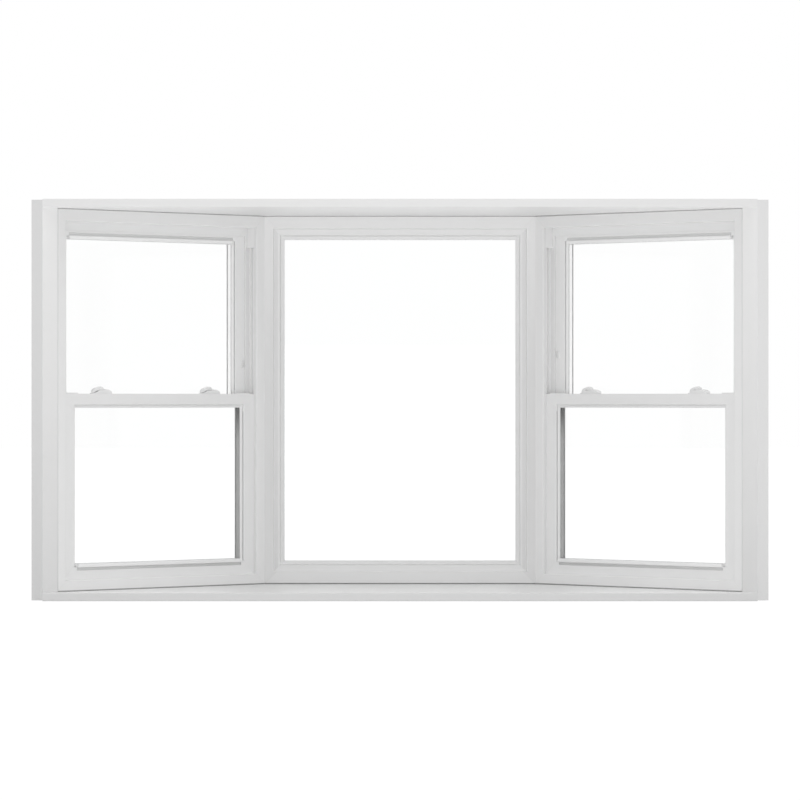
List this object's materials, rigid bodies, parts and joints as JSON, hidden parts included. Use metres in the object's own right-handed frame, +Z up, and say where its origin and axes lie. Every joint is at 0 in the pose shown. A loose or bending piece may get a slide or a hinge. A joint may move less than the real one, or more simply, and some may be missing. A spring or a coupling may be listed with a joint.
{
  "type": "bay window",
  "caption": "White bay window of a fixed middle unit between slanted side units with sliding sashes, closed by a head board, a seat board and wall jambs.",
  "frame": {"origin": "on the underside of the seat board, under the middle of the bounding box", "axes": "+Z up, +X to the right as seen from the room, +Y out to the weather; the room is on the -Y side"},
  "size_m": [2.0382, 0.7092, 1.113],
  "materials": {
    "white_board": "white laminate, satin",
    "white_jamb": "white laminate, satin",
    "white_post": "white, satin",
    "clear_glass": "clear float glass",
    "spacer_metal": "mill aluminium, matt",
    "white_bead": "white vinyl, semi-gloss",
    "white_sash": "white vinyl, semi-gloss",
    "white_frame": "white vinyl, semi-gloss",
    "white_hardware": "white enamel, semi-gloss"
  },
  "bodies": {
    "root": {"head_board": "white_board", "left_frame": "white_frame", "left_lock_bases": "white_hardware", "left_lock_keepers": "white_hardware", "left_lock_levers": "white_hardware", "left_lower_bead": "white_bead", "left_lower_glass": "clear_glass", "left_lower_sash": "white_sash", "left_lower_spacer": "spacer_metal", "left_mull_post": "white_post", "left_tilt_latches": "white_hardware", "left_track_clips": "white_hardware", "left_upper_bead": "white_bead", "left_upper_glass": "clear_glass", "left_upper_sash": "white_sash", "left_upper_spacer": "spacer_metal", "left_vent_latches": "white_hardware", "left_wall_jamb": "white_jamb", "picture_bead_ring": "white_bead", "picture_frame": "white_frame", "picture_glass": "clear_glass", "picture_sash": "white_sash", "picture_spacer": "spacer_metal", "right_frame": "white_frame", "right_lock_bases": "white_hardware", "right_lock_keepers": "white_hardware", "right_lock_levers": "white_hardware", "right_lower_bead": "white_bead", "right_lower_glass": "clear_glass", "right_lower_sash": "white_sash", "right_lower_spacer": "spacer_metal", "right_mull_post": "white_post", "right_tilt_latches": "white_hardware", "right_track_clips": "white_hardware", "right_upper_bead": "white_bead", "right_upper_glass": "clear_glass", "right_upper_sash": "white_sash", "right_upper_spacer": "spacer_metal", "right_vent_latches": "white_hardware", "right_wall_jamb": "white_jamb", "seat_board": "white_board"}
  },
  "joints": []
}
